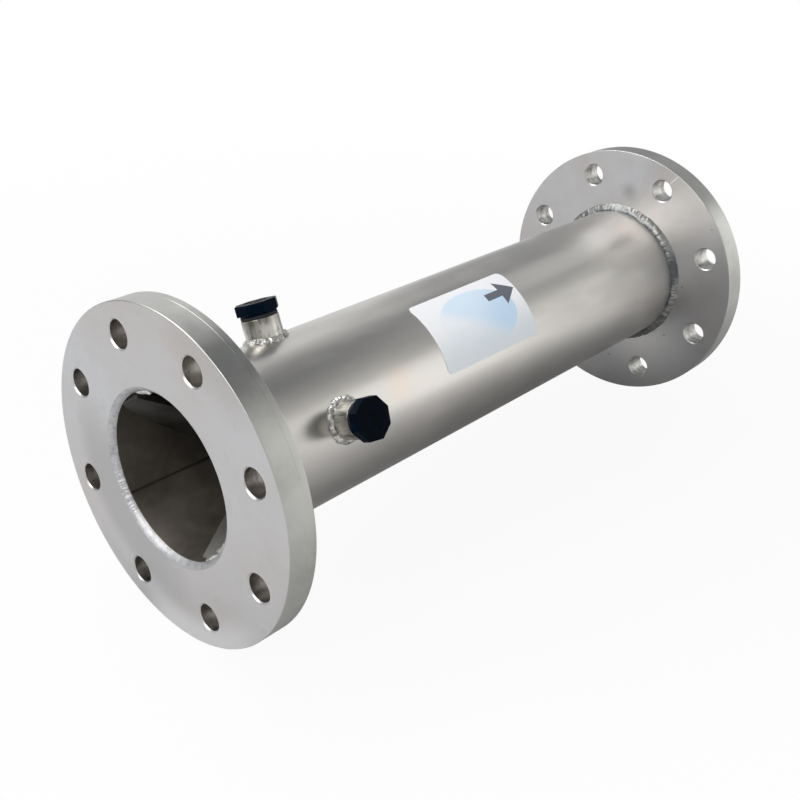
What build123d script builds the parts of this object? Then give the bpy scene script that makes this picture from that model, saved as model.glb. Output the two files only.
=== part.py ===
from build123d import *
from math import atan2, cos, degrees, radians, sin
import os

# Static mixer: a flanged stainless pipe with three pairs of crossed mixing plates inside it
# and two plugged injection sockets welded on. Millimetres. The origin is the centre of the
# inlet flange's face, X runs along the pipe with the flow, and Z is up. Angles round the pipe
# are in degrees from straight up, and grow towards -Y.

# Pipe
overall_length = 516.0
pipe_diameter = 114.3
pipe_wall = 2.6
pipe_end_recess = 4.0

# Flanges
flange_width = 52.85
flange_thickness = 20.0
flange_bore_gap = 0.85
flange_edge_chamfer = 1.0
bolt_count = 8
bolt_hole_diameter = 18.0
bolt_hole_inset = 20.0

# Welds between the pipe and the flanges
back_weld_rise = 5.8
back_weld_run = 4.6
bore_weld_setback = 1.0

# Injection sockets and their welds
socket_position = 99.5
upper_socket_angle = -22.0
side_socket_angle = 67.0
socket_diameter = 25.0
socket_wall = 2.5
socket_height = 14.8
socket_weld_rise = 2.6
socket_weld_run = 2.2
port_hole_ledge = 1.0

# Plugs and their seals
seal_thickness = 2.0
seal_inset = 0.4
collar_height = 1.2
head_across_flats = 26.8
head_height = 7.0
head_corners = 8
head_chamfer = 0.7
head_recess_border = 5.7
head_recess_depth = 0.6
shank_length = 12.0
shank_clearance = 0.05
upper_plug_turn = 26.0
side_plug_turn = 14.0

# Mixing plates and the weld tacks at their tips
pair_names = ("inlet", "middle", "outlet")
pair_gap = 6.5
plate_thickness = 4.0
plate_wall_clearance = 0.1
first_split_angle = -32.0
pair_turn = 90.0
tack_run = 7.0
tack_rise = 3.4
edge_tack_sweep = 17.0
tip_tack_sweep = 29.0

# Label
label_start = 196.0
label_length = 101.5
label_width = 57.0
label_angle = 42.0
label_thickness = 0.15
label_glue_gap = 0.1
label_corner_radius = 4.0

# Sizes that follow from the ones above
pipe_radius = pipe_diameter/2
pipe_bore_radius = pipe_radius - pipe_wall
pipe_length = overall_length - 2*pipe_end_recess
pipe_end = overall_length - pipe_end_recess
rim_radius = pipe_radius + flange_width
flange_bore_radius = pipe_radius + flange_bore_gap
bolt_circle_radius = rim_radius - bolt_hole_inset
bore_weld_run = pipe_end_recess - bore_weld_setback
bore_weld_rise = flange_bore_radius - pipe_bore_radius
socket_radius = socket_diameter/2
socket_bore_radius = socket_radius - socket_wall
socket_top = pipe_radius + socket_height
port_hole_radius = socket_bore_radius - port_hole_ledge
collar_radius = socket_radius - seal_inset
collar_base = socket_top + seal_thickness
head_base = collar_base + collar_height
head_top = head_base + head_height
recess_radius = head_across_flats/2 - head_recess_border
shank_radius = socket_bore_radius - shank_clearance
plate_radius = pipe_bore_radius - plate_wall_clearance
label_radius = pipe_radius + label_glue_gap
pair_count = len(pair_names)
pair_length = (pipe_length - (pair_count - 1)*pair_gap)/pair_count


def outward(angle):
    """Unit vector that points away from the pipe's axis at an angle round the pipe."""
    return Vector(0, -sin(radians(angle)), cos(radians(angle)))


def lengthwise_plane(angle):
    """Plane that holds the pipe's axis, with X along the pipe and Y outward at the angle."""
    return Plane(origin=(0, 0, 0), x_dir=(1, 0, 0), z_dir=outward(angle + 90))


def socket_plane(angle, height):
    """Plane square to a socket's axis, at a height above the pipe's axis."""
    origin = Vector(socket_position, 0, 0) + outward(angle)*height
    return Plane(origin=origin, x_dir=(1, 0, 0), z_dir=outward(angle))


# The pipe is a plain tube with a drilled hole under each socket.
with BuildPart() as pipe:
    with BuildSketch(Plane.YZ.offset(pipe_end_recess)):
        Circle(pipe_radius)
        Circle(pipe_bore_radius, mode=Mode.SUBTRACT)
    extrude(amount=pipe_length)
    for angle in (upper_socket_angle, side_socket_angle):
        with BuildSketch(socket_plane(angle, 0)):
            Circle(port_hole_radius)
        extrude(amount=pipe_diameter, mode=Mode.SUBTRACT)


def plate_flange(face, inward):
    """Flat ring with its gasket face at x = face; inward is the way from there to its back."""
    back = face + inward*flange_thickness
    edge = inward*flange_edge_chamfer
    with BuildPart() as flange:
        with BuildSketch(Plane.XZ):
            with BuildLine():
                Polyline(
                    (face, flange_bore_radius),
                    (face, rim_radius - flange_edge_chamfer),
                    (face + edge, rim_radius),
                    (back - edge, rim_radius),
                    (back, rim_radius - flange_edge_chamfer),
                    (back, flange_bore_radius),
                    close=True,
                )
            make_face()
        revolve(axis=Axis.X)
        # The bolt holes straddle the vertical centre line.
        with BuildSketch(Plane.YZ.offset(face)):
            with PolarLocations(bolt_circle_radius, bolt_count, start_angle=90 + 180/bolt_count):
                Circle(bolt_hole_diameter/2)
        extrude(amount=inward*flange_thickness, mode=Mode.SUBTRACT)
    return flange


inlet_flange = plate_flange(0, 1)
outlet_flange = plate_flange(overall_length, -1)


def weld_ring(x, radius, run, rise):
    """Bead round the pipe's axis that fills the corner at x and radius."""
    with BuildPart() as bead:
        with BuildSketch(Plane.XZ):
            with BuildLine():
                Polyline((x, radius), (x + run, radius), (x, radius + rise), close=True)
            make_face()
        revolve(axis=Axis.X)
    return bead


# A fillet weld joins the pipe to each flange's back, and a seal weld closes the gap between
# each flange's bore and the pipe's end.
inlet_back_weld = weld_ring(flange_thickness, pipe_radius, back_weld_run, back_weld_rise)
outlet_back_weld = weld_ring(
    overall_length - flange_thickness, pipe_radius, -back_weld_run, back_weld_rise
)
inlet_bore_weld = weld_ring(pipe_end_recess, flange_bore_radius, -bore_weld_run, -bore_weld_rise)
outlet_bore_weld = weld_ring(pipe_end, flange_bore_radius, bore_weld_run, -bore_weld_rise)


def injection_socket(angle):
    """Half coupling with its foot cut to sit on the pipe."""
    with BuildPart() as socket:
        with BuildSketch(socket_plane(angle, 0)):
            Circle(socket_radius)
            Circle(socket_bore_radius, mode=Mode.SUBTRACT)
        extrude(amount=socket_top)
        with BuildSketch(Plane.YZ):
            Circle(pipe_radius)
        extrude(amount=overall_length, mode=Mode.SUBTRACT)
    return socket


def socket_weld(angle):
    """Bead round a socket's foot, which runs down to the pipe's wall on every side."""
    inner = socket_position + socket_radius
    socket_axis = Axis(origin=(socket_position, 0, 0), direction=outward(angle))
    with BuildPart() as bead:
        with BuildSketch(lengthwise_plane(angle)):
            with BuildLine():
                Polyline(
                    (inner, pipe_radius + socket_weld_rise),
                    (inner + 3*socket_weld_run, pipe_radius - 2*socket_weld_rise),
                    (inner, pipe_radius - 2*socket_weld_rise),
                    close=True,
                )
            make_face()
        revolve(axis=socket_axis)
        with BuildSketch(Plane.YZ):
            Circle(pipe_radius)
        extrude(amount=overall_length, mode=Mode.SUBTRACT)
    return bead


upper_socket = injection_socket(upper_socket_angle)
side_socket = injection_socket(side_socket_angle)
upper_socket_weld = socket_weld(upper_socket_angle)
side_socket_weld = socket_weld(side_socket_angle)


def plug_seal(angle):
    """Flat ring between a socket's rim and the collar of its plug."""
    with BuildPart() as seal:
        with BuildSketch(socket_plane(angle, socket_top)):
            Circle(collar_radius)
            Circle(socket_bore_radius, mode=Mode.SUBTRACT)
        extrude(amount=seal_thickness)
    return seal


def moulded_plug(angle, turn):
    """Plug with an eight-sided head, a round collar and a shank that fills the socket."""
    with BuildPart() as plug:
        with BuildSketch(socket_plane(angle, head_base)):
            RegularPolygon(head_across_flats/2, head_corners, major_radius=False, rotation=turn)
        extrude(amount=head_height)
        top_face = plug.faces().sort_by(lambda face: face.center().dot(outward(angle)))[-1]
        chamfer(top_face.edges(), head_chamfer)
        # A moulding has a shallow round recess in its face.
        with BuildSketch(socket_plane(angle, head_top)):
            Circle(recess_radius)
        extrude(amount=-head_recess_depth, mode=Mode.SUBTRACT)
        with BuildSketch(socket_plane(angle, head_base)):
            Circle(collar_radius)
        extrude(amount=-collar_height)
        with BuildSketch(socket_plane(angle, collar_base)):
            Circle(shank_radius)
        extrude(amount=-shank_length)
    return plug


upper_plug_seal = plug_seal(upper_socket_angle)
side_plug_seal = plug_seal(side_socket_angle)
upper_plug = moulded_plug(upper_socket_angle, upper_plug_turn)
side_plug = moulded_plug(side_socket_angle, side_plug_turn)

# The tilt at which a plate's square-cut ends just reach from wall to wall over a pair's length.
plate_tilt = radians(45)
for _ in range(50):
    plate_tilt = atan2(
        2*plate_radius - plate_thickness*cos(plate_tilt),
        pair_length - plate_thickness*sin(plate_tilt),
    )
tip_set_in = plate_thickness*cos(plate_tilt)
tip_set_back = plate_thickness*sin(plate_tilt)


def pair_start(pair):
    return pipe_end_recess + pair*(pair_length + pair_gap)


def split_angle(pair):
    return first_split_angle + pair*pair_turn


def mixing_plate(pair, half):
    """Half-ellipse of sheet that slants across one half of the pipe, from wall to wall.

    The two plates of a pair slant opposite ways, so they cross at the middle. Their straight
    edges meet face to face in the plane that splits the pipe. The half is -1 or 1.
    """
    start = pair_start(pair)
    end = start + pair_length
    with BuildPart() as plate:
        with BuildSketch(lengthwise_plane(split_angle(pair))):
            with BuildLine():
                Polyline(
                    (start, -half*(plate_radius - tip_set_in)),
                    (start + tip_set_back, -half*plate_radius),
                    (end, half*(plate_radius - tip_set_in)),
                    (end - tip_set_back, half*plate_radius),
                    close=True,
                )
            make_face()
        extrude(amount=half*plate_radius)
        with BuildSketch(Plane.YZ.offset(start)):
            Circle(plate_radius)
        extrude(amount=pair_length, mode=Mode.INTERSECT)
    return plate


plates = {}
for pair, place in enumerate(pair_names):
    plates[f"{place}_plate_a"] = mixing_plate(pair, -1)
    plates[f"{place}_plate_b"] = mixing_plate(pair, 1)


def tip_tacks(pair_plates, toe, run, sweeps):
    """Tacks on the pipe's wall at the plate tips; sweeps holds their start angles and arcs."""
    with BuildPart() as tacks:
        for angle, sweep in sweeps:
            with BuildSketch(lengthwise_plane(angle)):
                with BuildLine():
                    Polyline(
                        (toe, pipe_bore_radius),
                        (toe + run/4, pipe_bore_radius - tack_rise),
                        (toe + 3*run/4, pipe_bore_radius - tack_rise),
                        (toe + run, pipe_bore_radius),
                        close=True,
                    )
                make_face()
            revolve(axis=Axis.X, revolution_arc=sweep)
        for plate in pair_plates:
            add(plate.part, mode=Mode.SUBTRACT)
    return tacks


first_split = split_angle(0)
last_split = split_angle(pair_count - 1)
inlet_plate_tacks = tip_tacks(
    (plates[f"{pair_names[0]}_plate_a"], plates[f"{pair_names[0]}_plate_b"]),
    pipe_end_recess,
    tack_run,
    ((first_split, edge_tack_sweep), (first_split + 180, -tip_tack_sweep)),
)
outlet_plate_tacks = tip_tacks(
    (plates[f"{pair_names[-1]}_plate_a"], plates[f"{pair_names[-1]}_plate_b"]),
    pipe_end,
    -tack_run,
    ((last_split, tip_tack_sweep), (last_split + 180, -edge_tack_sweep)),
)

# The label is a thin rectangle with rounded corners, wrapped round the pipe.
with BuildPart() as label:
    with BuildSketch(Plane.YZ.offset(label_start)):
        Circle(label_radius + label_thickness)
        Circle(label_radius, mode=Mode.SUBTRACT)
    extrude(amount=label_length)
    with BuildSketch(lengthwise_plane(label_angle - 90)):
        with Locations((label_start + label_length/2, 0)):
            RectangleRounded(
                label_length,
                2*label_radius*sin(label_width/(2*label_radius)),
                label_corner_radius,
            )
    extrude(amount=pipe_diameter, mode=Mode.INTERSECT)

pieces = {
    "pipe": pipe,
    "inlet_flange": inlet_flange,
    "outlet_flange": outlet_flange,
    "inlet_back_weld": inlet_back_weld,
    "outlet_back_weld": outlet_back_weld,
    "inlet_bore_weld": inlet_bore_weld,
    "outlet_bore_weld": outlet_bore_weld,
    "upper_injection_socket": upper_socket,
    "side_injection_socket": side_socket,
    "upper_socket_weld": upper_socket_weld,
    "side_socket_weld": side_socket_weld,
    "upper_plug_seal": upper_plug_seal,
    "side_plug_seal": side_plug_seal,
    "upper_plug": upper_plug,
    "side_plug": side_plug,
    **plates,
    "inlet_plate_tacks": inlet_plate_tacks,
    "outlet_plate_tacks": outlet_plate_tacks,
    "label": label,
}
os.makedirs("parts", exist_ok=True)
for name, piece in pieces.items():
    piece.part.label = name
    export_step(piece.part, f"parts/{name}.step")
print("mixing plates tilt", round(degrees(plate_tilt), 2), "degrees to the axis")
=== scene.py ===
import bmesh
import bpy
from math import cos, pi, radians, sin, sqrt, tau
from mathutils import Matrix, Vector, noise


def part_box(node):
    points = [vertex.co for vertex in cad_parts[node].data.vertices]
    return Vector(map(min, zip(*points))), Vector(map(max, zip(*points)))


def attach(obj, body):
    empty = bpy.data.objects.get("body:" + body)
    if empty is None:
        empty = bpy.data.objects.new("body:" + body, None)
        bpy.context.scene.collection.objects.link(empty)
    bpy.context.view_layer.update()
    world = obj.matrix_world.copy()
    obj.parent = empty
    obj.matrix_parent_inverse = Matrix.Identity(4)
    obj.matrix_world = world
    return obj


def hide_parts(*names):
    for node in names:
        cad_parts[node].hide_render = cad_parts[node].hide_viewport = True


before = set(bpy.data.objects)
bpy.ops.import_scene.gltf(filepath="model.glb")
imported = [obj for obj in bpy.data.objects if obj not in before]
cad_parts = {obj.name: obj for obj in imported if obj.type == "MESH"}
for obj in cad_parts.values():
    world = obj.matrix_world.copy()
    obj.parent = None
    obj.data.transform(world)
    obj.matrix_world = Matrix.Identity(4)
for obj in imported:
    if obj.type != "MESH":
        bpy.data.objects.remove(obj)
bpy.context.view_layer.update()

# PIPE
# Welded stainless tube, pickled to a soft satin and cut to length. It has one lengthwise seam,
# which shows as a dark line inside the bore, and a drilled hole under each socket.

MM = 0.001
pipe_low, pipe_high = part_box("pipe")
pipe_radius = pipe_high.y
pipe_wall = 2.6*MM
bore_radius = pipe_radius - pipe_wall
pipe_end_easing = 0.4*MM
seam_angle = radians(-125)


class Wire:
    """One output of a material's nodes. Sums of wires and numbers add the nodes they need."""

    def __init__(self, tree, socket=None):
        self.tree = tree
        self.socket = socket

    def node(self, kind, settings=None, sockets=None, out=0):
        """Any node: its settings first, then the values or wires of its sockets."""
        made = self.tree.nodes.new(kind)
        for name, value in (settings or {}).items():
            setattr(made, name, value)
        for name, value in (sockets or {}).items():
            feed(self.tree, made.inputs[name], value)
        return Wire(self.tree, made.outputs[out])

    def math(self, operation, first, second=0.0):
        """A Math node on wires or numbers."""
        return self.node("ShaderNodeMath", {"operation": operation}, {0: first, 1: second})

    def __add__(self, other):
        return self.math("ADD", self, other)

    def __sub__(self, other):
        return self.math("SUBTRACT", self, other)

    def __rsub__(self, other):
        return self.math("SUBTRACT", other, self)

    def __mul__(self, other):
        return self.math("MULTIPLY", self, other)

    def size(self):
        """The value without its sign."""
        return self.math("ABSOLUTE", self)

    __radd__ = __add__
    __rmul__ = __mul__

    def ramp(self, low, high):
        """Goes from 0 at low to 1 at high, smoothly."""
        return self.node("ShaderNodeMapRange", {"interpolation_type": "SMOOTHSTEP"},
                         {"Value": self, "From Min": low, "From Max": high})


def feed(tree, socket, value):
    """Links a wire to a socket, or sets the socket to a plain value."""
    if isinstance(value, Wire):
        tree.links.new(value.socket, socket)
    else:
        socket.default_value = value


def tint(colour, share=1.0):
    """A colour made darker or lighter by a share, with its alpha."""
    return (*(min(1.0, value*share) for value in colour), 1.0)


def blend(mask, low, high):
    """Colour that goes from low to high with the mask."""
    return mask.node("ShaderNodeMix", {"data_type": "RGBA"}, {0: mask, 6: low, 7: high}, out=2)


def stretched(where, share):
    """The same place, scaled by its own share along each axis."""
    return where.node("ShaderNodeVectorMath", {"operation": "MULTIPLY"}, {0: where, 1: share})


def speckle(where, scale, detail=2.0, rough=0.5):
    """Cloudy noise from 0 to 1, with that many clouds to a metre."""
    return where.node("ShaderNodeTexNoise", {},
                      {"Vector": where, "Scale": scale, "Detail": detail, "Roughness": rough})


def new_finish(name):
    """A new material: its tree, the place on the object, and a call that sets the shader."""
    material = bpy.data.materials.new(name)
    material.use_nodes = True
    tree = material.node_tree
    shader = tree.nodes["Principled BSDF"]
    place = Wire(tree).node("ShaderNodeTexCoord", out="Object")

    def dress(**sockets):
        for socket, value in sockets.items():
            feed(tree, shader.inputs[socket.replace("_", " ")], value)

    return material, place, dress


def near(where, spot, reach):
    """1 at a spot in metres, down to 0 at its reach."""
    return 1 - where.node("ShaderNodeVectorMath", {"operation": "DISTANCE"},
                          {0: where, 1: spot}, out="Value").ramp(0, reach)


def bumped(height, depth):
    """Normal that follows a height from 0 to 1, that deep in metres."""
    return height.node("ShaderNodeBump", {}, {"Height": height, "Distance": depth})


def along(place, axis):
    """Distance along the X, Y or Z axis."""
    return place.node("ShaderNodeSeparateXYZ", {}, {0: place}, out=axis)


def pipe_angle(place):
    """Angle round the pipe in radians, from straight up, growing towards -Y."""
    return place.math("ARCTAN2", along(place, "Y")*-1.0, along(place, "Z"))


def off_axis(place):
    """Distance from the pipe's axis."""
    return place.node("ShaderNodeVectorMath", {"operation": "LENGTH"},
                      {0: stretched(place, (0, 1, 1))}, out="Value")


def around_pipe(x, radius, turn):
    """Point at a turn round the pipe in radians, from straight up, growing towards -Y."""
    return Vector((x, -radius*sin(turn), radius*cos(turn)))


def satin_tube():
    """Pickled outside, with drawn lines, faint smears and two straw-coloured heat marks."""
    material, place, dress = new_finish("satin_tube")
    colour, straw = (0.61, 0.59, 0.56), (0.66, 0.56, 0.47)
    clouds = speckle(place, 16, 4.0, 0.6)
    drawn = speckle(stretched(place, (0.08, 1, 1)), 420, 3.0, 0.6)
    pickle = speckle(place, 1300, 2.0, 0.6)
    smears = speckle(stretched(place, (0.35, 1, 1)), 60, 2.0, 0.5).ramp(0.50, 0.75)
    heat = (near(place, around_pipe(151*MM, pipe_radius, radians(60)), 22*MM)
            + near(place, around_pipe(468*MM, pipe_radius, radians(24)), 30*MM)*0.8)
    brushed = along(place, "X").ramp(390*MM, 460*MM)
    steel = blend(clouds*0.5 + drawn*0.3 + smears*0.2, tint(colour, 0.86), tint(colour, 1.12))
    dress(Base_Color=blend(heat*0.45, steel, tint(straw)),
          Metallic=1.0,
          Roughness=0.26 + clouds*0.06 + pickle*0.02 + smears*0.04 + brushed*0.12,
          Normal=bumped(pickle*0.3 + drawn*0.7, 0.007*MM))
    return material


def dull_bore():
    """Inside of the pipe, darker towards the top with painted shade, and the tube's seam."""
    material, place, dress = new_finish("dull_bore")
    colour = (0.33, 0.295, 0.26)
    clouds = speckle(place, 22, 5.0, 0.65)
    # Painted shade: the bore is darkened towards its top.
    stain = along(place, "Z").ramp(-35*MM, 30*MM)
    off_seam = (pipe_angle(place) - seam_angle).size()*bore_radius
    seam = 0.7 - off_seam.ramp(0.2*MM, 1.5*MM)*0.7
    drawn = speckle(stretched(place, (0.1, 1, 1)), 500, 3.0)
    steel = blend(clouds.ramp(0.3, 0.7), tint(colour, 0.8), tint(colour, 1.35))
    steel = blend(stain*0.75, steel, tint((0.12, 0.115, 0.09)))
    dress(Base_Color=blend(seam, steel, tint((0.05, 0.04, 0.035))),
          Metallic=1.0,
          Roughness=0.42 + clouds*0.12 + drawn*0.06,
          Normal=bumped(drawn*0.4 - seam*1.0, 0.05*MM))
    return material


def eased(corners, steps=4):
    """Closed outline whose corners (along, out, easing) are rounded off by their easing."""
    outline = []
    for index, (x, r, easing) in enumerate(corners):
        here = Vector((x, r))
        before = Vector(corners[index - 1][:2]) - here
        after = Vector(corners[(index + 1) % len(corners)][:2]) - here
        reach = min(easing, before.length/2.01, after.length/2.01)
        if reach == 0:
            outline.append((x, r))
            continue
        first = here + before.normalized()*reach
        last = here + after.normalized()*reach
        for step in range(steps + 1):
            t = step/steps
            point = first*(1 - t)**2 + here*(2*t*(1 - t)) + last*t**2
            outline.append((point.x, point.y))
    return outline


def skin(name, rows, ring=True, loop=True, caps=False):
    """Mesh over rows of points. Ring closes each row, and loop joins the last row to the first."""
    made = bmesh.new()
    grid = [[made.verts.new(point) for point in row] for row in rows]
    pairs = list(zip(grid, grid[1:])) + ([(grid[-1], grid[0])] if loop else [])
    for this_row, next_row in pairs:
        count = len(this_row)
        for i in range(count if ring else count - 1):
            j = (i + 1) % count
            made.faces.new((this_row[i], this_row[j], next_row[j], next_row[i]))
    if caps:
        made.faces.new(reversed(grid[0]))
        made.faces.new(grid[-1])
    bmesh.ops.remove_doubles(made, verts=made.verts, dist=0.001*MM)
    bmesh.ops.recalc_face_normals(made, faces=made.faces)
    mesh = bpy.data.meshes.new(name)
    made.to_mesh(mesh)
    made.free()
    piece = bpy.data.objects.new(name, mesh)
    bpy.context.scene.collection.objects.link(piece)
    return piece


def turned(name, outline, place, steps=256):
    """Piece turned from a closed outline, which may change with the turn.

    Place puts a point where it belongs, from its distance along, its radius and its turn.
    """
    rows = []
    for step in range(steps):
        turn = tau*step/steps
        section = outline(turn) if callable(outline) else outline
        rows.append([place(x, radius, turn) for x, radius in section])
    return skin(name, rows)


def settled(piece):
    """The piece with its modifiers applied."""
    depsgraph = bpy.context.evaluated_depsgraph_get()
    mesh = bpy.data.meshes.new_from_object(piece.evaluated_get(depsgraph))
    piece.modifiers.clear()
    piece.data = mesh
    mesh.name = piece.name
    return piece


def cut(piece, cutter):
    """Cuts the cutter's shape out of a piece, and removes the cutter."""
    change = piece.modifiers.new("cut", "BOOLEAN")
    change.operation = "DIFFERENCE"
    change.solver = "EXACT"
    change.object = cutter
    settled(piece)
    bpy.data.objects.remove(cutter)


def smoothed(piece, sharp=35):
    """Smooth shading that keeps flat faces flat and edges over the sharp angle crisp."""
    for face in piece.data.polygons:
        face.use_smooth = True
    piece.data.set_sharp_from_angle(angle=radians(sharp))
    change = piece.modifiers.new("flat faces", "WEIGHTED_NORMAL")
    change.keep_sharp = True
    return settled(piece)


def fitted(piece, slot, nodes, *materials):
    """Gives a piece its materials and its place on the part."""
    for material in materials:
        piece.data.materials.append(material)
    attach(piece, "root")
    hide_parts(*nodes)


socket_low, socket_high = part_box("upper_injection_socket")
socket_x = (socket_low.x + socket_high.x)/2
socket_radius = (socket_high.x - socket_low.x)/2
socket_bore = socket_radius - 2.5*MM
port_radius = socket_bore - 1.0*MM
port_drill_reach = 70*MM
socket_turns = {"upper": radians(-22), "side": radians(67)}


def on_socket(socket_turn):
    """Places a point by its height above the pipe's axis, radius and turn on a socket."""
    out = around_pipe(0, 1, socket_turn)
    across = around_pipe(0, 1, socket_turn - pi/2)

    def place(height, radius, turn):
        return (Vector((socket_x, 0, 0)) + out*height
                + Vector((1, 0, 0))*(radius*cos(turn)) + across*(radius*sin(turn)))
    return place


pipe = turned("mixer_pipe", eased([
    (pipe_low.x, bore_radius, pipe_end_easing), (pipe_low.x, pipe_radius, pipe_end_easing),
    (pipe_high.x, pipe_radius, pipe_end_easing), (pipe_high.x, bore_radius, pipe_end_easing),
]), around_pipe)
for socket_turn in socket_turns.values():
    cut(pipe, turned("port_hole", [
        (0, 0), (0, port_radius), (port_drill_reach, port_radius), (port_drill_reach, 0),
    ], on_socket(socket_turn), 64))
fitted(smoothed(pipe), "stainless_pipe", ["pipe"], satin_tube(), dull_bore())
for face in pipe.data.polygons:
    face.material_index = int(face.center.yz.length < pipe_radius - pipe_wall/2)

# FLANGES
# Two flat flanges, cut from stainless plate, faced, drilled and deburred. The rim is turned a
# little smaller over the front, which leaves a fine step near the back.

rim_low, rim_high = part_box("inlet_flange")
rim_radius = rim_high.y
flange_thickness = rim_high.x - rim_low.x
outlet_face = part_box("outlet_flange")[1].x
outlet_back = outlet_face - flange_thickness
flange_bore = pipe_radius + 0.85*MM
rim_step = 0.06*MM
rim_land = 5*MM
rim_easing = 0.7*MM
step_easing = 0.1*MM
bore_easing = 0.3*MM
bolt_count = 8
bolt_circle = rim_radius - 20*MM
bolt_hole = 9*MM
bolt_hole_deburr = 0.9*MM
drill_overrun = 1*MM


def plate_steel():
    """Faced plate, cloudy and marked, with painted reflection bands, shade and light on some sides.
    """
    material, place, dress = new_finish("plate_steel")
    warm, cool, smudge = (0.60, 0.575, 0.56), (0.57, 0.585, 0.61), (0.30, 0.29, 0.28)
    plain = (0.585, 0.58, 0.582)
    radius = off_axis(place)
    clouds = speckle(place, 14, 5.0, 0.6)
    grain = speckle(place, 1500, 2.0, 0.6)
    rolled = speckle(stretched(place, (1, 0.12, 1)), 160, 4.0, 0.6)
    marks = speckle(place, 55, 6.0, 0.7).ramp(0.52, 0.74)

    def towards(angle):
        """1 at an angle round the pipe, down to -1 across from it."""
        return place.math("COSINE", pipe_angle(place) - radians(angle))

    rubbed = near(place, (outlet_back, -3*MM, 76*MM), 11*MM)
    off_scratch = (along(place, "Y") + along(place, "Z")*0.907 - 41.6*MM).size()
    scratch = (1 - off_scratch.ramp(0.2*MM, 0.5*MM))*near(
        place, (outlet_back, -44*MM, 94.5*MM), 8*MM)
    steel = blend(clouds.ramp(0.25, 0.75), tint(warm, 0.93), tint(cool, 1.07))
    steel = blend(rolled*0.30 + marks*0.30, steel, tint(warm, 0.80))
    # Painted reflection: darker bands near the rim at 28 and 208 degrees, as a turned face
    # reflects.
    dull_ends = towards(28).size().ramp(0.90, 1.0)*radius.ramp(82*MM, 104*MM)
    steel = blend(dull_ends*0.5, steel, tint(warm, 0.74))
    # Painted shade and a painted highlight on the inlet face: darker towards 228 degrees, brighter
    # towards 165.
    at_inlet = along(place, "X").ramp(0.2, 0.1)
    dull_side = towards(228).ramp(0.35, 0.9)*radius.ramp(96*MM, 78*MM)
    steel = blend(at_inlet*dull_side, steel, tint(plain, 0.77))
    bright_side = towards(165).ramp(0.80, 0.98)*radius.ramp(86*MM, 104*MM)
    steel = blend(at_inlet*bright_side, steel, tint(plain, 1.25))
    # Painted light: a lighter patch on the outlet's back, below the pipe.
    cleaned = near(place, (outlet_back, -40*MM, -58*MM), 58*MM)
    steel = blend(cleaned, steel, tint((0.97, 0.96, 0.95)))
    steel = blend(scratch*1.5, steel, tint(cool, 1.6))
    for y, z in ((-65.9, 4.4), (-55.7, -44.6), (-2.9, -81.3), (-84.9, 60.9)):
        spatter = near(place, (outlet_back, y*MM, z*MM), 1.2*MM)
        steel = blend(spatter, steel, tint(smudge, 0.7))
    dress(Base_Color=blend(rubbed*0.55, steel, tint(smudge)),
          Metallic=1.0,
          Roughness=0.31 + clouds*0.07 + grain*0.05 + marks*0.06,
          Normal=bumped(grain*0.4 + rolled*0.6, 0.010*MM))
    return material


def turned_rim():
    """Lathe-turned steel with fine rings."""
    material, place, dress = new_finish("turned_rim")
    colour = (0.50, 0.50, 0.475)
    rings = speckle(stretched(place, (1, 0.03, 0.03)), 1500, 3.0)
    clouds = speckle(place, 26, 5.0, 0.65)
    dress(Base_Color=blend(clouds.ramp(0.3, 0.7), tint(colour, 0.88), tint(colour, 1.10)),
          Metallic=1.0,
          Roughness=0.26 + clouds*0.12,
          Normal=bumped(rings, 0.006*MM))
    return material


def drilled_steel():
    """Steel inside the bolt holes, with the drill's rings, dull patches and painted shade and
    light.
    """
    material, place, dress = new_finish("drilled_steel")
    near_steel, far_steel = (0.50, 0.47, 0.44), (0.72, 0.72, 0.69)
    rings = speckle(stretched(place, (1, 0.04, 0.04)), 2200, 2.0)
    patches = speckle(place, 110, 4.0, 0.65)
    # Painted shade in the inlet flange's holes and painted light in the outlet's: one steel, two
    # tones.
    colour = blend(along(place, "X").ramp(0.1, 0.4), tint(near_steel), tint(far_steel))
    dress(Base_Color=blend((rings*0.3 + patches*0.7).ramp(0.62, 0.34), colour,
                           tint((0.24, 0.22, 0.20))),
          Metallic=1.0,
          Roughness=0.26 + patches*0.18,
          Normal=bumped(rings, 0.012*MM))
    return material


def plate_flange(name, gasket_face, inward, node, *materials):
    """Flange with its gasket face at that X. Inward is 1 or -1, from there to its back."""
    back = gasket_face + inward*flange_thickness
    turned_radius = rim_radius - rim_step
    land_start = back - inward*rim_land
    piece = turned(name, eased([
        (gasket_face, flange_bore, bore_easing), (gasket_face, turned_radius, rim_easing),
        (land_start, turned_radius, step_easing),
        (land_start + inward*step_easing, rim_radius, step_easing),
        (back, rim_radius, rim_easing), (back, flange_bore, bore_easing),
    ]), around_pipe, 360)
    half = flange_thickness/2
    reach = half + drill_overrun
    flare = bolt_hole + bolt_hole_deburr + drill_overrun
    drill = [(-reach, 0), (-reach, flare), (-half + bolt_hole_deburr, bolt_hole),
             (half - bolt_hole_deburr, bolt_hole), (reach, flare), (reach, 0)]
    for hole in range(bolt_count):
        centre = around_pipe(gasket_face + inward*half, bolt_circle,
                             tau*(hole + 0.5)/bolt_count)
        cut(piece, turned("drill", drill, lambda x, radius, turn: centre + around_pipe(
            x, radius, turn), 96))
    fitted(smoothed(piece), "stainless_flange", [node], *materials)
    for face in piece.data.polygons:
        out = face.center.yz.length
        edge_on = face.normal.x**2 < 0.3
        rim = edge_on and out > rim_radius - 1*MM
        in_hole = edge_on and flange_bore + 1*MM < out < bolt_circle + bolt_hole
        face.material_index = 2 if rim else int(in_hole)


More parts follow.
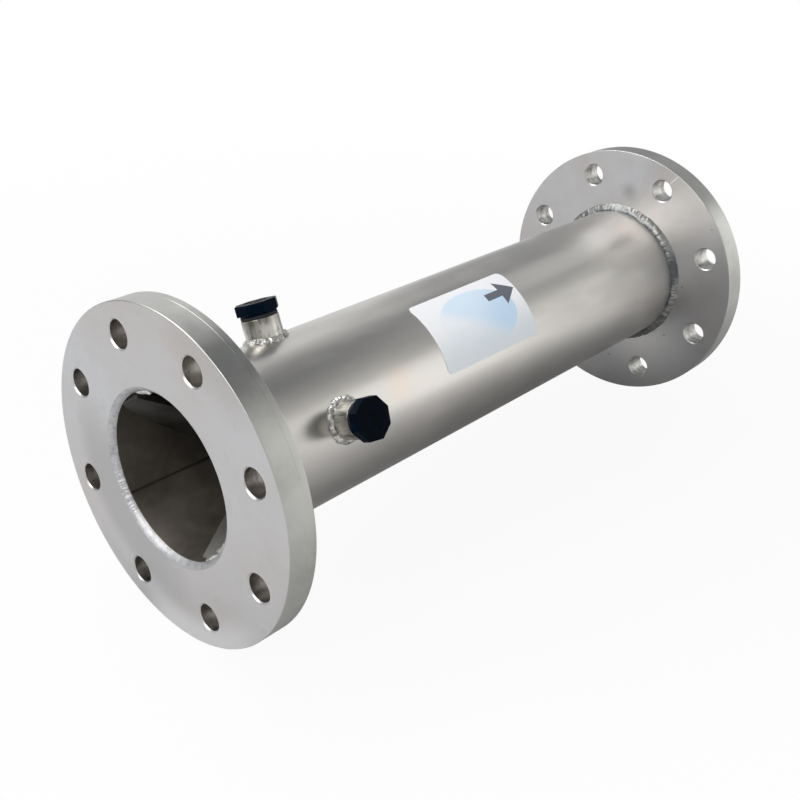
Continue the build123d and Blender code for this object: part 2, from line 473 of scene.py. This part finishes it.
flange_finishes = plate_steel(), drilled_steel(), turned_rim()
plate_flange("inlet_plate_flange", 0, 1, "inlet_flange", *flange_finishes)
plate_flange("outlet_plate_flange", outlet_face, -1, "outlet_flange", *flange_finishes)

# RING WELDS
# Hand-laid beads that join the pipe to the flanges: a fillet on each flange's back and a seal
# weld inside each bore. The weld metal is rippled and uneven, and dulled here and there.

back_weld_leg = 5.8*MM
back_weld_run = 4.6*MM
back_weld_rough = 0.5*MM
bore_weld_run = 3.95*MM
bore_weld_leg = flange_bore - bore_radius
bore_weld_rough = 0.42*MM
ring_weld_crown = 0.4*MM
ring_weld_pitch = 2.6*MM
ring_weld_steps = 900


def weld_bead(name, colour, dull, depth, rough=0.30, groove=0.0):
    """Weld metal with a dull, oxidised share, pitted that deep.

    The last argument is the distance from the pipe's axis of a painted shade line along one toe.
    """
    material, place, dress = new_finish(name)
    blotch = speckle(place, 200, 5.0, 0.7)
    spots = speckle(place, 900, 3.0, 0.6)
    oxide = blotch.ramp(0.55, 0.36)*dull
    if groove:
        # Painted shade: a dark spot on the outlet's back weld, and a patchy dark line along the toe
        # by the pipe, on top of the real oxidised share.
        burnt = near(place, (outlet_back, -56*MM, 20*MM), 24*MM)
        patchy = speckle(place, 45, 3.0).ramp(0.35, 0.6)
        line = 1 - (off_axis(place) - groove).size().ramp(0.2*MM, 1.5*MM)
        oxide = oxide + burnt + line*patchy
    dress(Base_Color=blend(oxide, tint(colour, 1.1), tint((0.10, 0.11, 0.12))),
          Metallic=1.0,
          Roughness=rough + spots*0.25,
          Normal=bumped(blotch*0.5 + spots*0.5, depth))
    return material


def rippled(name, section, length, crown, pitch, rough, steps, worst=None):
    """Weld bead laid round a closed line of sections, each a corner with its two toes.

    The face bulges by the crown, has a ripple every pitch, and wanders by the rough size, most
    of all between the two shares of its length that are its worst.
    """
    rows = []
    across = 8
    for step in range(steps):
        share = step/steps
        wander = rough
        if worst:
            inside = min(share - worst[0], worst[1] - share)
            wander *= 0.2 + min(1, max(0, 0.5 + inside*20))
        corner, low, high = section(share)
        chord = high - low
        out = (low + high)/2 - corner
        out = (out - chord*(out.dot(chord)/chord.length_squared)).normalized()
        row = [corner]
        for k in range(across + 1):
            t = k/across
            rise = 4*t*(1 - t)
            beat = share*length/pitch - 0.45*rise + 1.5*noise.noise(corner*130)
            ripple = abs(sin(pi*beat))
            lump = noise.noise((low + chord*t)*260)
            swell = crown*rise + wander*(0.55*(ripple - 0.6) + 0.9*lump)*min(1, 3*rise + 0.15)
            row.append(low + chord*t + out*max(swell, -0.6*crown))
        rows.append(row)
    return skin(name, rows)


def ring_section(x, radius, run, rise, waver):
    """Sections of a weld round the pipe, in the corner at x and radius. Its toes waver."""
    def section(share):
        turn = tau*share
        wander = Vector((cos(turn)*3, sin(turn)*3, x*40))*4
        low_shift = 1 - waver*abs(noise.noise(wander))
        high_shift = 1 - waver*abs(noise.noise(wander + Vector((9, 9, 9))))
        return (around_pipe(x, radius, turn),
                around_pipe(x + run*low_shift, radius, turn),
                around_pipe(x, radius + rise*high_shift, turn))
    return section


# The back welds get the painted shade line along the toe by the pipe; the outlet's also gets a
# painted shadow spot.
grey_weld = weld_bead("grey_weld", (0.30, 0.30, 0.29), dull=0.6, depth=0.06*MM,
                      groove=pipe_radius + 0.4*MM)
bore_weld = weld_bead("bore_weld_metal", (0.48, 0.48, 0.49), dull=0.3, depth=0.03*MM,
                      rough=0.42)
for name, back, inward in (("inlet_back_weld", flange_thickness, 1),
                           ("outlet_back_weld", outlet_back, -1)):
    bead = rippled(
        name + "_bead",
        ring_section(back, pipe_radius, inward*back_weld_run, back_weld_leg, waver=0.15),
        tau*pipe_radius, ring_weld_crown, ring_weld_pitch, back_weld_rough, ring_weld_steps)
    fitted(smoothed(bead, 80), "weld_metal", [name], grey_weld)
for name, pipe_end, inward, worst in (("inlet_bore_weld", pipe_low.x, 1, (0.63, 0.79)),
                                      ("outlet_bore_weld", pipe_high.x, -1, (0.20, 0.50))):
    bead = rippled(
        name + "_bead",
        ring_section(pipe_end, flange_bore, -inward*bore_weld_run, -bore_weld_leg, waver=0.03),
        tau*flange_bore, ring_weld_crown, ring_weld_pitch, bore_weld_rough, ring_weld_steps,
        worst)
    fitted(smoothed(bead, 80), "weld_metal", [name], bore_weld)

# INJECTION SOCKETS
# Two short turned couplings of stainless bar, each cut at its foot to sit on the pipe. The
# plugs screw into them.

socket_top = pipe_radius + 14.8*MM
socket_easing = 0.6*MM
socket_mouth_easing = 0.3*MM


def turned_steel(name, socket_turn):
    """Bar steel with dull streaks that run up the socket, and painted shade round its mouth."""
    material, place, dress = new_finish(name)
    colour = (0.60, 0.585, 0.545)
    out = around_pipe(0, 1, socket_turn)
    height = place.node("ShaderNodeVectorMath", {"operation": "DOT_PRODUCT"},
                        {0: place, 1: out}, out="Value")
    lift = place.node("ShaderNodeCombineXYZ", {}, {0: height, 1: height, 2: height})
    lift = place.node("ShaderNodeVectorMath", {"operation": "MULTIPLY"}, {0: lift, 1: out*0.85})
    flat = place.node("ShaderNodeVectorMath", {"operation": "SUBTRACT"}, {0: place, 1: lift})
    patches = speckle(place, 130, 4.0, 0.65)
    streaks = speckle(flat, 150, 4.0, 0.65)
    steel = blend((streaks*0.7 + patches*0.3).ramp(0.54, 0.38), tint(colour, 1.1),
                  tint(colour, 0.38))
    # Painted shade: darker towards the mouth, under the plug's collar.
    film = height.ramp(socket_top - 9*MM, socket_top)
    dress(Base_Color=blend(film*0.55, steel, tint((0.16, 0.15, 0.12))),
          Metallic=1.0,
          Roughness=0.235 + patches*0.20,
          Normal=bumped(streaks*0.6 + patches*0.4, 0.05*MM))
    return material


def foot_height(radius, turn):
    """Height of the pipe's outside under a point on a socket."""
    return sqrt(pipe_radius**2 - (radius*sin(turn))**2)


def socket_outline(turn):
    """Section of a socket's wall at a turn, from the pipe's curve up to its flat top."""
    outer, inner = foot_height(socket_radius, turn), foot_height(socket_bore, turn)
    return eased([
        (inner, socket_bore, 0), (outer, socket_radius, 0),
        (socket_top, socket_radius, socket_easing), (socket_top, socket_bore, socket_mouth_easing),
    ])


for name, socket_turn in socket_turns.items():
    coupling = turned(name + "_coupling", socket_outline, on_socket(socket_turn), 160)
    fitted(smoothed(coupling), "stainless_socket", [name + "_injection_socket"],
           turned_steel(name + "_turned_steel", socket_turn))

# SOCKET WELDS
# A hand-laid bead of stainless weld metal round each socket's foot, which follows the saddle
# where the socket meets the pipe.

foot_weld_rise = 2.7*MM
foot_weld_run = 2.8*MM
foot_weld_crown = 0.5*MM
foot_weld_pitch = 4.2*MM
foot_weld_rough = 0.95*MM


def saddle_section(socket_turn):
    """Sections of the weld round a socket's foot. Its toes waver."""
    place = on_socket(socket_turn)

    def section(share):
        turn = tau*share
        wander = Vector((cos(turn)*2, sin(turn)*2, socket_turn))*2.5
        run = foot_weld_run*(1 + 0.22*noise.noise(wander))
        rise = foot_weld_rise*(1 + 0.22*noise.noise(wander + Vector((5, 5, 5))))
        foot = foot_height(socket_radius, turn)
        return (place(foot, socket_radius, turn),
                place(foot_height(socket_radius + run, turn), socket_radius + run, turn),
                place(foot + rise, socket_radius, turn))
    return section


bright_weld = weld_bead("bright_weld", (0.60, 0.585, 0.56), dull=0.75, depth=0.08*MM)
for name, socket_turn in socket_turns.items():
    bead = rippled(name + "_foot_bead", saddle_section(socket_turn), tau*socket_radius,
                   foot_weld_crown, foot_weld_pitch, foot_weld_rough, steps=480)
    fitted(smoothed(bead, 80), "weld_metal", [name + "_socket_weld"], bright_weld)

# PLUG SEALS
# A flat black rubber ring under each plug's collar. The plug squeezes it on the socket's rim,
# so that its edge bulges a little.

seal_thickness = 2.0*MM
collar_radius = socket_radius - 0.4*MM
seal_bulge = 0.15*MM
seal_easing = 0.5*MM
seal_bore_easing = 0.2*MM


def matt_rubber():
    """Dusty black rubber."""
    material, place, dress = new_finish("matt_rubber")
    colour = (0.014, 0.014, 0.016)
    dust = speckle(place, 500, 3.0, 0.6)
    dress(Base_Color=blend(dust, tint(colour, 0.8), tint(colour, 1.6)),
          Roughness=0.62 + dust*0.15,
          Specular_IOR_Level=0.35,
          Normal=bumped(dust, 0.03*MM))
    return material


rubber = matt_rubber()
for name, socket_turn in socket_turns.items():
    seal = turned(name + "_rubber_seal", eased([
        (socket_top, socket_bore, seal_bore_easing), (socket_top, collar_radius, seal_easing),
        (socket_top + seal_thickness/2, collar_radius + seal_bulge, seal_easing),
        (socket_top + seal_thickness, collar_radius, seal_easing),
        (socket_top + seal_thickness, socket_bore, seal_bore_easing),
    ]), on_socket(socket_turn), 128)
    fitted(smoothed(seal, 50), "black_rubber", [name + "_plug_seal"], rubber)

# PLUGS
# Moulded black plastic screw plugs with an eight-sided head. The face has a shallow ring
# moulded into it and a small gate mark, and the shank fills the socket's bore.

collar_base = socket_top + seal_thickness
head_base = collar_base + 1.2*MM
head_top = head_base + 7.0*MM
head_flats = 26.8*MM
head_rounding = 0.7*MM
head_bevel = 0.35*MM
recess_outer = 7.7*MM
recess_inner = 3.7*MM
recess_depth = 0.35*MM
gate_radius = 1.2*MM
gate_height = 0.25*MM
gate_root = 0.2*MM
gate_easing = 0.1*MM
gate_inset = 2.8*MM
gate_turn = 0.6
shank_radius = socket_bore - 0.05*MM
shank_length = 12*MM
shank_bevel = 0.8*MM
edge_bevel = 0.2*MM
plug_turns = {"upper": radians(26), "side": radians(14)}


def moulded_black(name, colour, specular):
    """Black plastic with a fine grain and paler scuffs."""
    material, place, dress = new_finish(name)
    grain = speckle(place, 1400, 2.0, 0.6)
    scuffs = speckle(place, 160, 4.0, 0.6).ramp(0.5, 0.75)
    dress(Base_Color=blend(scuffs, tint(colour, 0.8), tint(colour, 1.8)),
          Roughness=0.26 + grain*0.10 + scuffs*0.10,
          Specular_IOR_Level=specular,
          Normal=bumped(grain*0.6 + scuffs*0.4, 0.02*MM))
    return material


def octagon(flats, turn, corner_turn):
    """Distance from the middle to the side of an octagon, at a turn."""
    side = pi/4
    off = (turn - corner_turn) % side - side/2
    return flats/2/cos(off)


def moulded_plug(name, socket_turn, corner_turn):
    """Plug with its shank, collar and head, as rows of points from the tip to the face."""
    place = on_socket(socket_turn)
    steps = 128
    turns = [tau*step/steps + corner_turn for step in range(steps)]

    def octagon_row(height, inset):
        return [place(height, octagon(head_flats - 2*inset, turn, corner_turn), turn)
                for turn in turns]

    def round_row(height, radius):
        return [place(height, radius, turn) for turn in turns]

    tip = collar_base - shank_length
    rows = [
        round_row(tip, edge_bevel), round_row(tip, shank_radius - shank_bevel),
        round_row(tip + shank_bevel, shank_radius), round_row(collar_base, shank_radius),
        round_row(collar_base, collar_radius - edge_bevel),
        round_row(collar_base + edge_bevel, collar_radius), round_row(head_base, collar_radius),
        octagon_row(head_base, head_bevel), octagon_row(head_base + head_bevel, 0),
    ]
    for step in range(6):
        lean = pi/2*step/5
        rows.append(octagon_row(head_top - head_rounding*(1 - sin(lean)),
                                head_rounding*(1 - cos(lean))))
    rows += [
        round_row(head_top, recess_outer + edge_bevel),
        round_row(head_top - recess_depth, recess_outer - edge_bevel),
        round_row(head_top - recess_depth, recess_inner + edge_bevel),
        round_row(head_top, recess_inner - edge_bevel), round_row(head_top, edge_bevel),
    ]
    return skin(name, rows, loop=False, caps=True)


def gate_mark(name, socket_turn):
    """Low round button where the plastic was let into the mould, beside the head's middle."""
    beside = around_pipe(gate_inset*cos(gate_turn), gate_inset*sin(gate_turn),
                         socket_turn - pi/2)
    place = on_socket(socket_turn)
    return turned(name, [(head_top - gate_root, 0), (head_top - gate_root, gate_radius),
                         (head_top + gate_height*0.6, gate_radius - gate_easing),
                         (head_top + gate_height, gate_radius*0.6),
                         (head_top + gate_height, 0)],
                  lambda height, radius, turn: place(height, radius, turn) + beside, 32)


# Painted sheen: the sides get a paler, bluer black than the face of the same plastic.
black_face = moulded_black("moulded_black_face", (0.0018, 0.0032, 0.0060), 0.015)
black_side = moulded_black("moulded_black_side", (0.0010, 0.0050, 0.0125), 0.025)
for name, socket_turn in socket_turns.items():
    plug = moulded_plug(name + "_moulded_plug", socket_turn, plug_turns[name])
    mark = gate_mark(name + "_gate_mark", socket_turn)
    fitted(smoothed(plug, 30), "black_plastic", [name + "_plug"], black_side, black_face)
    fitted(smoothed(mark, 50), "black_plastic", [name + "_plug"], black_face)
    # Faces that look along the socket take the face's black; the others take the sides' painted
    # sheen.
    for face in plug.data.polygons:
        face.material_index = int(face.normal.dot(around_pipe(0, 1, socket_turn)) > 0.8)

# MIXING PLATES
# Half-ellipses of stainless sheet that cross in pairs and slant from wall to wall, which stirs
# the water. They keep the sheet's dull grey. The first and last pair are tacked to the pipe.


def dull_sheet():
    """Mill-grey sheet, with painted light towards the bottom of the bore."""
    material, place, dress = new_finish("dull_sheet")
    colour = (0.19, 0.185, 0.175)
    clouds = speckle(place, 30, 5.0, 0.65)
    rolled = speckle(stretched(place, (0.2, 1, 1)), 420, 3.0)
    # Painted light: the sheet is lighter towards the bottom of the bore.
    cleaned = along(place, "Z").ramp(0, -45*MM)
    steel = blend(clouds.ramp(0.3, 0.7), tint(colour, 0.35), tint(colour, 0.9))
    dress(Base_Color=blend(cleaned, steel, tint(colour, 1.9)),
          Metallic=1.0,
          Roughness=0.40 + clouds*0.14,
          Normal=bumped(rolled, 0.03*MM))
    return material


sheet = dull_sheet()
for pair in ("inlet", "middle", "outlet"):
    for half in ("a", "b"):
        mixing_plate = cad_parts[f"{pair}_plate_{half}"]
        mixing_plate.data.materials.clear()
        mixing_plate.data.materials.append(sheet)

# PLATE TACKS
# Short rough lumps of weld metal, laid by hand at the pipe's open ends. They hold the tips of
# the first and last plates to its wall.

tack_run = 7.0*MM
tack_rise = 3.4*MM
tack_root = 0.5*MM
tack_clearance = 0.05*MM
tack_bump = 1.1*MM
tack_grit = 0.6*MM


def tack_section(x, run, start, sweep):
    """Sections of a lump on the pipe's wall, each with its two toes and its share of height."""
    def section(share):
        turn = start + sweep*share
        wander = Vector((x*50, turn*9, 1))
        swell = sqrt(max(0.02, sin(pi*min(1, max(0, 0.04 + 0.92*share)))))
        swell *= 1 + 0.25*noise.noise(wander)
        half = run/2*(0.8 + 0.2*swell)
        centre, toe_radius = x + run/2, bore_radius - tack_clearance
        return (around_pipe(centre, bore_radius + tack_root, turn),
                around_pipe(centre - half, toe_radius, turn),
                around_pipe(centre + half, toe_radius, turn), swell)
    return section


def lump(name, x, run, start, sweep):
    """Tack with a rough top, laid along a turn of the pipe's wall."""
    section = tack_section(x, run, start, sweep)
    rows = []
    steps, across = 60, 14
    for step in range(steps + 1):
        corner, low, high, swell = section(step/steps)
        row = []
        for k in range(across + 1):
            t = k/across
            rise = sin(pi*t)**0.8 if 0 < t < 1 else 0
            point = low + (high - low)*t
            inward = -Vector((0, point.y, point.z)).normalized()
            bump = tack_bump*noise.noise(point*420) + tack_grit*noise.noise(point*900)
            height = max(tack_clearance, tack_rise*0.9*rise*swell + bump*rise)
            row.append(point + inward*height)
        row.append(corner)
        rows.append(row)
    return skin(name, rows, loop=False, caps=True)


clean_weld = weld_bead("clean_weld", (0.86, 0.85, 0.83), dull=0.75, depth=0.22*MM)
first_split, last_split = radians(-32), radians(148)
for name, node, x, run, start, sweep in (
    ("inlet_edge_tack", "inlet_plate_tacks", pipe_low.x, tack_run, first_split, 17),
    ("inlet_tip_tack", "inlet_plate_tacks", pipe_low.x, tack_run, first_split + pi, -29),
    ("outlet_tip_tack", "outlet_plate_tacks", pipe_high.x, -tack_run, last_split, 29),
    ("outlet_edge_tack", "outlet_plate_tacks", pipe_high.x, -tack_run, last_split + pi, -17),
):
    tack = lump(name, x, run, start, radians(sweep))
    fitted(smoothed(tack, 80), "weld_metal", [node], clean_weld)

# LABEL
# A glossy printed film, wrapped on the pipe: white, with a pale blue disc and an arrow that
# points the way of the flow.

label_low, label_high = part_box("label")
label_radius = pipe_radius + 0.1*MM
label_thickness = 0.15*MM
label_width = 57*MM
label_turn = radians(42)
label_corner = 4*MM
disc_centre = (247*MM, 42*MM)
disc_length = 78*MM
disc_width = 46*MM
arrow_tail = 264*MM
arrow_neck = 280*MM
arrow_tip = 296*MM
arrow_middle = 31*MM
arrow_half_shaft = 3.0*MM
arrow_half_head = 10.5*MM
print_edge = 0.2*MM


def printed_film():
    """White film with its disc and arrow, which are laid out in metres along and round the pipe."""
    material, place, dress = new_finish("printed_film")
    x = along(place, "X")
    wrap = pipe_angle(place)*label_radius
    off_x, off_wrap = x - disc_centre[0], wrap - disc_centre[1]
    share_x, share_wrap = off_x*(2/disc_length), off_wrap*(2/disc_width)
    disc = 1 - (share_x*share_x + share_wrap*share_wrap).ramp(0.97, 1.03)
    deeper = (off_x + off_wrap*0.8).ramp(-10*MM, 30*MM)
    faded = (off_wrap - off_x*0.6).ramp(-4*MM, 14*MM)
    off_middle = (wrap - arrow_middle).size()

    def past(distance, edge):
        """0 before an edge of the print and 1 past it."""
        return distance.ramp(edge - print_edge, edge + print_edge)

    shaft = (1 - past(off_middle, arrow_half_shaft))*past(x, arrow_tail)
    shaft = shaft*(1 - past(x, arrow_neck))
    slope = (arrow_tip - x)*(arrow_half_head/(arrow_tip - arrow_neck)) - off_middle
    arrow = (shaft + past(slope, 0)*past(x, arrow_neck)).ramp(0.3, 0.7)
    white, pale, blue = (0.87, 0.88, 0.90), (0.66, 0.79, 0.91), (0.55, 0.71, 0.88)
    # Painted shade: the white ground turns bluish grey along the label's lower side.
    ground = blend(wrap.ramp(36*MM, 66*MM), tint(white), tint((0.66, 0.71, 0.74)))
    ground = blend(disc*(1 - faded*0.85), ground, blend(deeper, tint(pale), tint(blue)))
    scuffs = speckle(place, 90, 3.0, 0.6)
    dress(Base_Color=blend(arrow, ground, tint((0.12, 0.13, 0.16))),
          Roughness=0.30 + scuffs*0.08,
          Specular_IOR_Level=0.4,
          Normal=bumped(scuffs, 0.01*MM))
    return material


def film_label(name):
    """Thin sheet bent round the pipe, as a grid inside a rounded rectangle."""
    half_length, half_width = (label_high.x - label_low.x)/2, label_width/2
    middle_x = (label_low.x + label_high.x)/2
    flat = []
    steps_along, steps_round = 60, 48
    for i in range(steps_along + 1):
        x = half_length*(2*i/steps_along - 1)
        beyond = max(0.0, abs(x) - (half_length - label_corner))
        reach = half_width - label_corner + sqrt(max(0.0, label_corner**2 - beyond**2))
        flat.append([(x, reach*(2*j/steps_round - 1)) for j in range(steps_round + 1)])

    def bent(radius):
        return [[around_pipe(middle_x + x, radius, label_turn + wrap/label_radius)
                 for x, wrap in line] for line in flat]

    rows = [outer + list(reversed(inner))
            for outer, inner in zip(bent(label_radius + label_thickness), bent(label_radius))]
    return skin(name, rows, loop=False, caps=True)


fitted(smoothed(film_label("flow_label"), 40), "label_film", ["label"], printed_film())

# STUDIO
# A pale floor that fades into a white background, soft lamps in front, behind, above and beyond
# the far flange, and a camera at the photograph's viewing angle.

floor_half = 6.0
floor_height = rim_low.z


def ray_kinds(start):
    """Masks of the rays that the camera, shiny surfaces and clear ones send."""
    return [start.node("ShaderNodeLightPath", out=f"Is {kind} Ray")
            for kind in ("Camera", "Glossy", "Transmission")]


def studio_floor():
    """Paper that looks white to the camera, fades to white far off and keeps the shadow."""
    material = bpy.data.materials.new("studio_floor")
    material.use_nodes = True
    tree = material.node_tree
    tree.nodes.remove(tree.nodes["Principled BSDF"])
    start = Wire(tree)
    place = start.node("ShaderNodeTexCoord", out="Object")
    shade = speckle(place, 2.0, 2.0)
    grey = blend(shade, tint((0.68, 0.68, 0.68)), tint((0.72, 0.72, 0.72)))
    # Painted shadow: the paper is darkened under and beside the pipe.
    under = near(stretched(place, (0.6, 1, 1)), (0.27, -0.08, floor_height), 0.36)
    paper = start.node("ShaderNodeBsdfDiffuse", {},
                       {"Color": blend(under, grey, tint((0.15, 0.15, 0.15)))})
    white = start.node("ShaderNodeEmission", {}, {"Color": tint((1, 1, 1)), "Strength": 1.0})
    fade = 1 - near(place, (0.27, 0.20, floor_height), 1.2)
    seen, glossy, through = ray_kinds(start)
    share = (seen + through)*(0.93 + fade*0.07) + glossy*(0.02 + fade*0.62)
    mixed = start.node("ShaderNodeMixShader", {}, {0: share, 1: paper, 2: white})
    tree.links.new(mixed.socket, tree.nodes["Material Output"].inputs["Surface"])
    return material


floor_plane = skin("studio_floor", [
    [Vector((-floor_half, y, floor_height)), Vector((floor_half, y, floor_height))]
    for y in (-floor_half, floor_half)
], ring=False, loop=False)
floor_plane.data.materials.append(studio_floor())

world = bpy.data.worlds.new("studio")
bpy.context.scene.world = world
world.use_nodes = True
sky = Wire(world.node_tree)
direction = sky.node("ShaderNodeTexCoord", out="Generated")
frontward = along(direction, "Y")*-1.0
walls = blend(frontward.ramp(-0.2, 0.8), tint((0.36, 0.37, 0.38)), tint((0.66, 0.66, 0.65)))
walls = blend(along(direction, "Z").ramp(0.58, 0.92), walls, tint((0.08, 0.09, 0.10)))
daylight = tint((0.16, 0.16, 0.165))
seen, glossy, through = ray_kinds(sky)
backdrop = world.node_tree.nodes["Background"]
feed(world.node_tree, backdrop.inputs["Color"],
     blend(seen + glossy*0.05 + through, blend(glossy, daylight, walls), tint((1, 1, 1))))
backdrop.inputs["Strength"].default_value = 1.0


def softbox(name, aim, azimuth, elevation, distance, width, height, glow):
    """Area light that looks at a point from a direction, with a glow of 1 as white."""
    lamp = bpy.data.lights.new(name, "AREA")
    lamp.shape = "RECTANGLE"
    lamp.size, lamp.size_y = width, height
    lamp.energy = glow*width*height*pi
    light = bpy.data.objects.new(name, lamp)
    bpy.context.scene.collection.objects.link(light)
    light.visible_camera = False
    bearing, lift = radians(azimuth), radians(elevation)
    out = Vector((cos(bearing)*cos(lift), sin(bearing)*cos(lift), sin(lift)))
    light.matrix_world = (Matrix.Translation(aim + out*distance)
                          @ (-out).to_track_quat("-Z", "Y").to_matrix().to_4x4())
    return light


shoulder = Vector((0.165, 0, 0))
middle = Vector((0.25, 0, 0))
far_end = Vector((0.475, 0, 0.05))
softbox("key_light", shoulder, -49, 12, 1.0, 0.35, 0.70, 0.92)
softbox("back_light", shoulder, 59, 19, 1.0, 0.48, 0.74, 0.40)
softbox("high_light", shoulder, 42, 39, 1.0, 0.30, 0.28, 0.36)
front_light = softbox("front_light", middle, -112, 6, 1.6, 1.2, 0.5, 5.8)
front_light.visible_glossy = False
softbox("end_light", middle, 0, 39, 1.4, 0.55, 0.26, 0.58)
softbox("rim_light", far_end, -24, 9, 1.4, 0.40, 0.75, 1.1)
softbox("left_light", far_end, 175, 31, 1.5, 1.1, 0.50, 5.8)
softbox("top_light", middle, 95, 60, 2.2, 1.5, 1.6, 4.4)

camera_data = bpy.data.cameras.new("camera")
camera_data.sensor_width = 36
camera_data.lens = 47.06
camera_data.shift_x = -0.00515
camera_data.shift_y = -0.03915
camera = bpy.data.objects.new("camera", camera_data)
bpy.context.scene.collection.objects.link(camera)
camera_spot = Vector((-298.25, -453.45, 334.38))*MM
heading, dip, roll = radians(41.731), radians(26.085), radians(1.595)
sight = Vector((cos(heading)*cos(dip), sin(heading)*cos(dip), -sin(dip)))
camera.matrix_world = (Matrix.Translation(camera_spot)
                       @ sight.to_track_quat("-Z", "Y").to_matrix().to_4x4()
                       @ Matrix.Rotation(roll, 4, "Z"))
bpy.context.scene.camera = camera
bpy.context.scene.view_settings.view_transform = "Standard"
